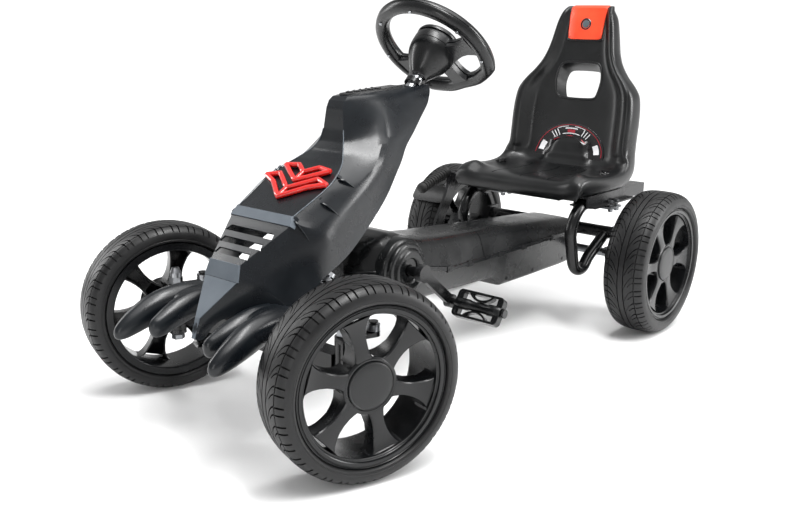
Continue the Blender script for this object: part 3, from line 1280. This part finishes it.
    def pad(self, grow: float, proud: float) -> Shape:
        """Builds the pad that wraps from the head's face over its top."""
        rings = []
        spots = [(self.face_y(0, z), z, -1.0, 0.12)
                 for z in (533 - grow, 536 - grow, 545, 558, 571, 582, 590)]
        spots += [(902.8, 592.6, -0.8, 0.6), (907.0, 595.4, -0.5, 0.86), (912, 596.9, -0.2, 0.98),
                  (914.5, 597.0, -0.05, 1.0)]
        for i, (y, z, ny, nz) in enumerate(spots):
            half = (36.5 + 4.0 * min(1.0, i / 6) - 1.6 * max(0, i - 6) / 4) + grow
            end = 0.86 if i == 0 else 1.0
            ring = []
            for depth in (1, 0):
                for a in ((-1, -0.93, -0.5, 0, 0.5, 0.93, 1) if depth else (1, 0.5, 0, -0.5, -1)):
                    out = (proud - (1.2 if abs(a) == 1 else 0.0)) if depth else -2.0
                    crown = 1.2 * (1 - a * a) if depth else 0.0
                    ring.append(at(a * half * end, y + ny * (out + crown * 0.4),
                                   min(z + nz * (out * 0.55 + crown * 0.2), 601.6)))
            rings.append(ring)
        return Shape().loft(rings)

    def build(self) -> None:
        """Builds the seat."""
        piece("seat_bucket", self.shell(), SEAT_PE, "seat", sharp_deg=48, replaces=["seat_shell"])
        piece("hand_hole_lip", self.hole_lip(), SEAT_PE, "seat", sharp_deg=60)
        piece("head_pad_border", self.pad(3.4, 2.6), PRINTED_FILM, "seat", sharp_deg=40)
        piece("head_pad_vinyl", self.pad(0.0, 5.4), PAD_VINYL, "seat", bevel_mm=0.8, sharp_deg=50,
              replaces=["head_pad"])
        spot = Matrix.Translation(at(0, self.face_y(0, 563) - 5.2,
                                     563)) @ Matrix.Rotation(math.radians(90 - 8), 4, "X")
        ring = Shape().lathe([(8.2, -1), (8.6, 1.2), (10.6, 1.5), (11.6, 0.8), (11.8, -1)], spot, steps=48,
                             closed=True)
        piece("head_button_ring", ring, PRINTED_FILM, "seat")
        knob = Shape().lathe([(0, 2.3), (4, 2.2), (7.0, 1.6), (8.1, 0.4), (8.1, -1), (0, -1)], spot,
                             steps=48)
        piece("head_button", knob, BUTTON_GREY, "seat")
        arch = self.arch_strip((47, 36), (80, 66), -6, 186, 1.0, 2.6)
        piece("lumbar_arch", arch, PRINTED_FILM, "seat", bevel_mm=0.4, replaces=["lumbar_plate"])
        white, red = self.prints()
        piece("lumbar_print_white", white, PRINT_WHITE, "seat")
        piece("lumbar_print_red", red, PRINT_RED, "seat")
        bolts = Shape()
        for side in Side:
            place = Matrix.Translation(at(side.value * 121, 786,
                                          287)) @ Matrix.Rotation(math.radians(18 * side.value), 4, "Y")
            bolts.lathe([(0, 3.2), (5.4, 3.2), (6.4, 2.2), (6.4, -4), (0, -4)], place, steps=32)
            bolts.lathe([(9.0, 1.2), (11.0, 1.6), (12.4, 0.6), (12.4, -4), (9, -4)], place, steps=40,
                        closed=True)
        piece("seat_hip_bolts", bolts, POWDER_COAT, "seat", sharp_deg=30)


# ---- frame, drive and brake -------------------------------------------------


def arc(cy: float, cz: float, r: float, a0: float, a1: float, n: int) -> list[tuple[float, float]]:
    """Returns the (y, z) points of an arc from a0 to a1 degrees."""
    return [(cy + r * math.cos(math.radians(a0 + (a1 - a0) * i / n)), cz
             + r * math.sin(math.radians(a0 + (a1 - a0) * i / n))) for i in range(n + 1)]


@dataclass
class SeatTube:
    """Bent tube that carries the seat: top run, front bend and a rising run back to the crossbar."""

    side: Side
    x: float = 122.0
    r: float = 11.0

    def build(self) -> None:
        """Builds the tube with its end cap and the weld bead at the crossbar."""
        word = self.side.name.lower()
        line = [(866, 239), (850, 239), (800, 239), (750, 239)] + arc(716, 185, 54, 90, 178, 16) + arc(706,
                143, 30, 190, 300, 12)
        line += [(735, 131), (760, 146), (780, 157.6), (793, 165.1)]
        path = [at(self.side.value * self.x, y, z) for y, z in line]
        shape = Shape().sweep(path, lambda share: ellipse(self.r, self.r, 28), Vector((1, 0, 0)))
        cap = Matrix.Translation(at(self.side.value * self.x, 866,
                                    239)) @ Matrix.Rotation(math.radians(-90), 4, "X")
        shape.lathe([(0, 2.4), (7, 2.2), (9.6, 1.2), (10.6, 0), (10.6, -3), (0, -3)], cap, steps=28)
        piece(f"seat_tube_bent_{word}", shape, POWDER_COAT, "chassis", sharp_deg=45,
              replaces=[f"seat_tube_{word}"])
        bead = []
        for k in range(24):
            a = 2 * math.pi * k / 24
            bead.append(at(self.side.value * self.x + 11.6 * math.cos(a), 791.5 + 5.8 * math.sin(a), 164.2
                           + 10.4 * math.sin(a) * -0.8 + 1.5))
        ring = Shape().sweep(bead, lambda share: ellipse(1.6, 1.6, 8), Vector((0, 0.86, 0.5)), loop=True)
        piece(f"seat_tube_weld_{word}", ring, POWDER_COAT, "chassis", sharp_deg=60)


@dataclass
class Pedal:
    """Moulded pedal: barrel on its pin, ribbed cage with toothed edges."""

    side: Side
    crank_len: float = 94.0
    crank_deg: float = 39.0
    tilt: float = 56.0
    length: float = 85.0
    width: float = 45.6

    def place(self) -> Matrix:
        """Returns the pedal's frame: X along its pin from its low-X end, Y across."""
        s = self.side.value
        a = math.radians(self.crank_deg)
        x = 112 if s > 0 else -197
        return (Matrix.Translation(at(x, CRANK_AXIS[0] + s * self.crank_len * math.cos(a),
                                      CRANK_AXIS[1] - s * self.crank_len * math.sin(a)))
                @ Matrix.Rotation(math.radians(self.tilt), 4, "X"))

    def build(self) -> None:
        """Builds the cage."""
        place = self.place()
        n, w = self.length, self.width / 2
        shape = Shape()
        turn = place @ Matrix.Rotation(math.radians(90), 4, "Y")
        shape.lathe([(5.1, 0), (8.2, 0), (9.2, 1.4), (9.2, 24), (7.8, 27), (7.8, n - 27), (9.2, n - 24),
                     (9.2, n - 1.4), (8.2, n), (5.1, n)],
                    turn, steps=32, closed=True)
        rim = rounded(n, 2 * w, 7)
        inner = rounded(n - 10, 2 * w - 8.4, 4)
        rings = [[place @ Vector(((n / 2 + x) * MM, y * MM, z * MM)) for x, y in line]
                 for line, z in ((rim, -6.6), (inner, -6.6), (inner, 6.6), (rim, 6.6))]
        shape.join(Shape().loft(rings, loop=True))
        arc_at = [math.radians(210 + 120 * k / 16) for k in range(17)]
        for m in (-1, 1):
            band = [(n / 2 + 27 * math.cos(a), m * (w + 9 + 24 * math.sin(a))) for a in arc_at]
            inside = [(n / 2 + 23.6 * math.cos(a), m * (w + 9 + 20.6 * math.sin(a))) for a in arc_at]
            for k in range(16):
                quad = [band[k], band[k + 1], inside[k + 1], inside[k]]
                shape.prism(quad if m > 0 else quad[::-1], -5.2, 5.2, place)
            y0, y1 = sorted((m * (w - 4.0), m * w))
            for k in range(10):
                x = 9 + k * (n - 18) / 9
                for z0, z1 in ((6.4, 7.9), (-7.9, -6.4)):
                    shape.prism([(x - 1.7, y0 + 0.6), (x + 1.7, y0 + 0.6), (x + 1.7, y1 - 0.6),
                                 (x - 1.7, y1 - 0.6)], z0, z1, place)
        for x0, x1 in ((1, 11), (n - 11, n - 1)):
            shape.prism([(x0, -w + 3.5), (x1, -w + 3.5), (x1, w - 3.5), (x0, w - 3.5)], -5.6, 5.6, place)
        word = self.side.name.lower()
        piece(f"pedal_cage_{word}", shape, POLYPROPYLENE, f"pedal_{word}", bevel_mm=0.5, sharp_deg=40,
              replaces=[f"pedal_{word}"])


@dataclass
class BrakeLever:
    """Flat lever with its shoe, which curves round the right rear tyre."""

    outline: tuple = ((638, 142), (658, 142), (668, 172), (697, 214), (701, 240), (703, 262), (684, 267),
                      (674, 226), (642, 176), (636, 158))
    pivot: tuple = (648.0, 150.0)
    ends: tuple = ((-259, 3.4), (-257, 1.6), (-253, 0.4), (-247, 0), (-196, 0), (-184, 0.6), (-178, 1.4))

    def build(self) -> None:
        """Builds the lever and the shoe."""
        layout = Matrix.Translation(at(0, 0, 0)) @ Matrix(((0, 0, 1, 0), (1, 0, 0, 0), (0, 1, 0, 0),
                (0, 0, 0, 1)))
        plate = Shape().prism(self.outline, -178.4, -172.6, layout)
        y, z = self.pivot
        hole = [(y + 5.3 * math.cos(math.pi * k / 16), z + 5.3 * math.sin(math.pi * k / 16))
                for k in range(32)]
        piece("brake_lever_plate", plate.carve(Shape().prism(hole, -182, -168, layout)), POWDER_COAT,
              "brake", sharp_deg=30,
              replaces=["brake_lever"])
        rings = []
        for x, shrink in self.ends:
            low, high = 134 + shrink, 150 - shrink
            line = [(low + (high - low) * k / 12, 137.6)
                    for k in range(13)] + [(high - (high - low) * k / 12, 140.8) for k in range(13)]
            rings.append([at(x, WHEELBASE + r * math.cos(math.radians(a)), REAR_R
                             + r * math.sin(math.radians(a))) for a, r in line])
        piece("brake_shoe_pad", Shape().loft(rings), POLYPROPYLENE, "brake", bevel_mm=0.5, sharp_deg=40)


@dataclass
class BrakeGrip:
    """Ribbed rubber grip with a rounded end."""

    start: tuple = (600.0, 240.0)
    end: tuple = (690.0, 266.0)
    x: float = -185.0

    def build(self) -> None:
        """Builds the grip."""
        low, high = at(self.x, *self.start), at(self.x, *self.end)
        way = (high - low).normalized()
        place = Matrix.Translation(low) @ way.to_track_quat("Z", "X").to_matrix().to_4x4()
        length = (high - low).length / MM
        profile = [(0, 0), (6, 0.4), (9.4, 2.6), (10.8, 6), (10.8, 10)]
        z = 12.0
        while z < length - 14:
            profile += [(9.2, z), (9.2, z + 1.6), (10.8, z + 2.6), (10.8, z + 5.6)]
            z += 7.2
        profile += [(9.6, length - 8), (10.9, length - 6), (10.9, length - 1.5), (9.5, length), (0, length)]
        piece("brake_grip_ribbed", Shape().lathe(profile, place, steps=48), GRIP_RUBBER, "brake",
              sharp_deg=35, replaces=["brake_grip"])


KEPT_NODES: dict[str, Finish] = {
    "main_beam": POWDER_COAT, "front_crossbar": POWDER_COAT, "rear_crossbar": POWDER_COAT,
    "bearing_blocks": POWDER_COAT,
    "knuckle_left": POWDER_COAT, "knuckle_right": POWDER_COAT, "seat_rails": POWDER_COAT,
    "brake_bracket": POWDER_COAT,
    "crank": POWDER_COAT, "kingpin_bolts": ZINC, "bearing_bolts": ZINC, "stub_nuts_left": ZINC,
    "stub_nuts_right": ZINC, "axle_nuts": ZINC, "seat_clamps": ZINC, "rear_axle": ZINC,
    "tie_rod_left": ZINC,
    "tie_rod_right": ZINC, "hand_wheel_screws": ZINC, "steering_column": BRIGHT_STEEL, "axle_bushes": NYLON,
    "crank_bushes": NYLON, "column_bush_lower": NYLON, "column_bush_upper": POLYPROPYLENE,
    "bushes_front_left": NYLON,
    "bushes_front_right": NYLON, "bushes_rear_right": NYLON, "chain": OILED_STEEL,
}


def dress_kept_nodes() -> None:
    """Gives every CAD piece that stays in sight its finish and clean shading."""
    for name, finish in KEPT_NODES.items():
        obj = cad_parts[name]
        obj.data.materials.clear()
        obj.data.materials.append(finish.material())
        log.info("%s keeps its CAD shape, %s", name, finish.name)


# ---- studio -----------------------------------------------------------------


@dataclass
class Studio:
    """White floor, soft boxes and the camera."""

    eye: tuple = (929.5, -807.5, 562.1)
    target: tuple = (9.5, 293.2, 188.3)
    lens: float = 41.81
    roll: float = 1.026

    def floor(self) -> None:
        """Builds the pale seamless floor, flat under the kart and rising gently far away."""
        rings = []
        for radius, height in ((0, 0), (0.5, 0), (2, 0), (6, 0), (12, 0.15), (20, 0.8), (32, 2.6),
                               (48, 6.0)):
            rings.append([Vector((radius * math.cos(2 * math.pi * k / 96),
                                  radius * math.sin(2 * math.pi * k / 96), height)) for k in range(96)])
        shape = Shape().loft(rings, caps=False)
        mesh = bpy.data.meshes.new("studio_floor")
        mesh.from_pydata(shape.verts, [], shape.faces)
        mesh.polygons.foreach_set("use_smooth", [True] * len(mesh.polygons))
        obj = bpy.data.objects.new("studio_floor", mesh)
        bpy.context.scene.collection.objects.link(obj)
        mat = bpy.data.materials.new("matt_white_floor")
        mat.use_nodes = True
        tree = mat.node_tree
        shader = next(n for n in tree.nodes if n.type == "BSDF_PRINCIPLED")
        shader.inputs["Roughness"].default_value = 0.65
        place = add_node(tree, "ShaderNodeTexCoord").outputs["Object"]
        noise = add_node(tree, "ShaderNodeTexNoise", {"Vector": place, "Scale": 3.0}).outputs["Fac"]
        tone = add_node(tree, "ShaderNodeMix", {"Factor": noise, 6: linear("#f1f1f1"),
                7: linear("#f4f4f4")}, data_type="RGBA")
        tree.links.new(tone.outputs[2], shader.inputs["Base Color"])
        mesh.materials.append(mat)

    def light(self, name: str, place: tuple, aim: tuple, size: tuple, watts: float) -> None:
        """Adds one rectangular soft box aimed at a point."""
        data = bpy.data.lights.new(name, "AREA")
        data.shape, data.size, data.size_y, data.energy = "RECTANGLE", size[0], size[1], watts
        obj = bpy.data.objects.new(name, data)
        bpy.context.scene.collection.objects.link(obj)
        obj.location = place
        obj.rotation_euler = (Vector(aim) - Vector(place)).to_track_quat("-Z", "Y").to_euler()

    def camera(self) -> None:
        """Adds the camera."""
        eye, target = at(*self.eye), at(*self.target)
        forward = (target - eye).normalized()
        right = forward.cross(Vector((0, 0, 1))).normalized()
        up = right.cross(forward)
        a = math.radians(self.roll)
        right2, up2 = right * math.cos(a) + up * math.sin(a), up * math.cos(a) - right * math.sin(a)
        data = bpy.data.cameras.new("studio_camera")
        data.lens, data.sensor_width, data.clip_end = self.lens, 36.0, 200.0
        obj = bpy.data.objects.new("studio_camera", data)
        bpy.context.scene.collection.objects.link(obj)
        turn = Matrix((right2, up2, -forward)).transposed().to_4x4()
        obj.matrix_world = Matrix.Translation(eye) @ turn
        bpy.context.scene.camera = obj

    def build(self) -> None:
        """Builds the floor, lights and camera."""
        world = bpy.data.worlds.new("studio_world")
        world.use_nodes = True
        back = next(n for n in world.node_tree.nodes if n.type == "BACKGROUND")
        back.inputs["Color"].default_value = (1, 1, 1, 1)
        back.inputs["Strength"].default_value = 0.5
        bpy.context.scene.world = world
        bpy.context.scene.view_settings.view_transform = "Standard"
        self.floor()
        self.camera()
        sun = bpy.data.lights.new("overhead_silk", "SUN")
        sun.energy, sun.angle = 2.65, math.radians(60)
        silk = bpy.data.objects.new("overhead_silk", sun)
        bpy.context.scene.collection.objects.link(silk)
        silk.rotation_euler = (math.radians(-8), math.radians(10), 0)
        self.light("right_rear_box", (2.2, 1.6, 1.3), (0, 0.2, 0.3), (0.5, 1.8), 60)
        self.light("left_strip", (-1.9, -0.6, 1.1), (0, 0, 0.3), (0.35, 1.6), 15)
        self.light("front_strip", (0.9, -2.4, 0.9), (0, -0.2, 0.3), (0.3, 1.2), 8)
        self.light("top_strip", (0.5, -0.3, 2.2), (0, 0, 0.2), (0.3, 1.4), 34)


def main() -> None:
    """Builds the kart's looks and the studio."""
    logging.basicConfig(level=logging.INFO, format="%(message)s")
    Studio().build()
    Wheels().build()
    HandWheel().build()
    Fairing().build()
    for side in Side:
        Wing(side).build()
        SeatTube(side).build()
        Pedal(side).build()
    ChainCase().build()
    Seat().build()
    BrakeLever().build()
    BrakeGrip().build()
    dress_kept_nodes()


if __name__ == "__main__":
    main()
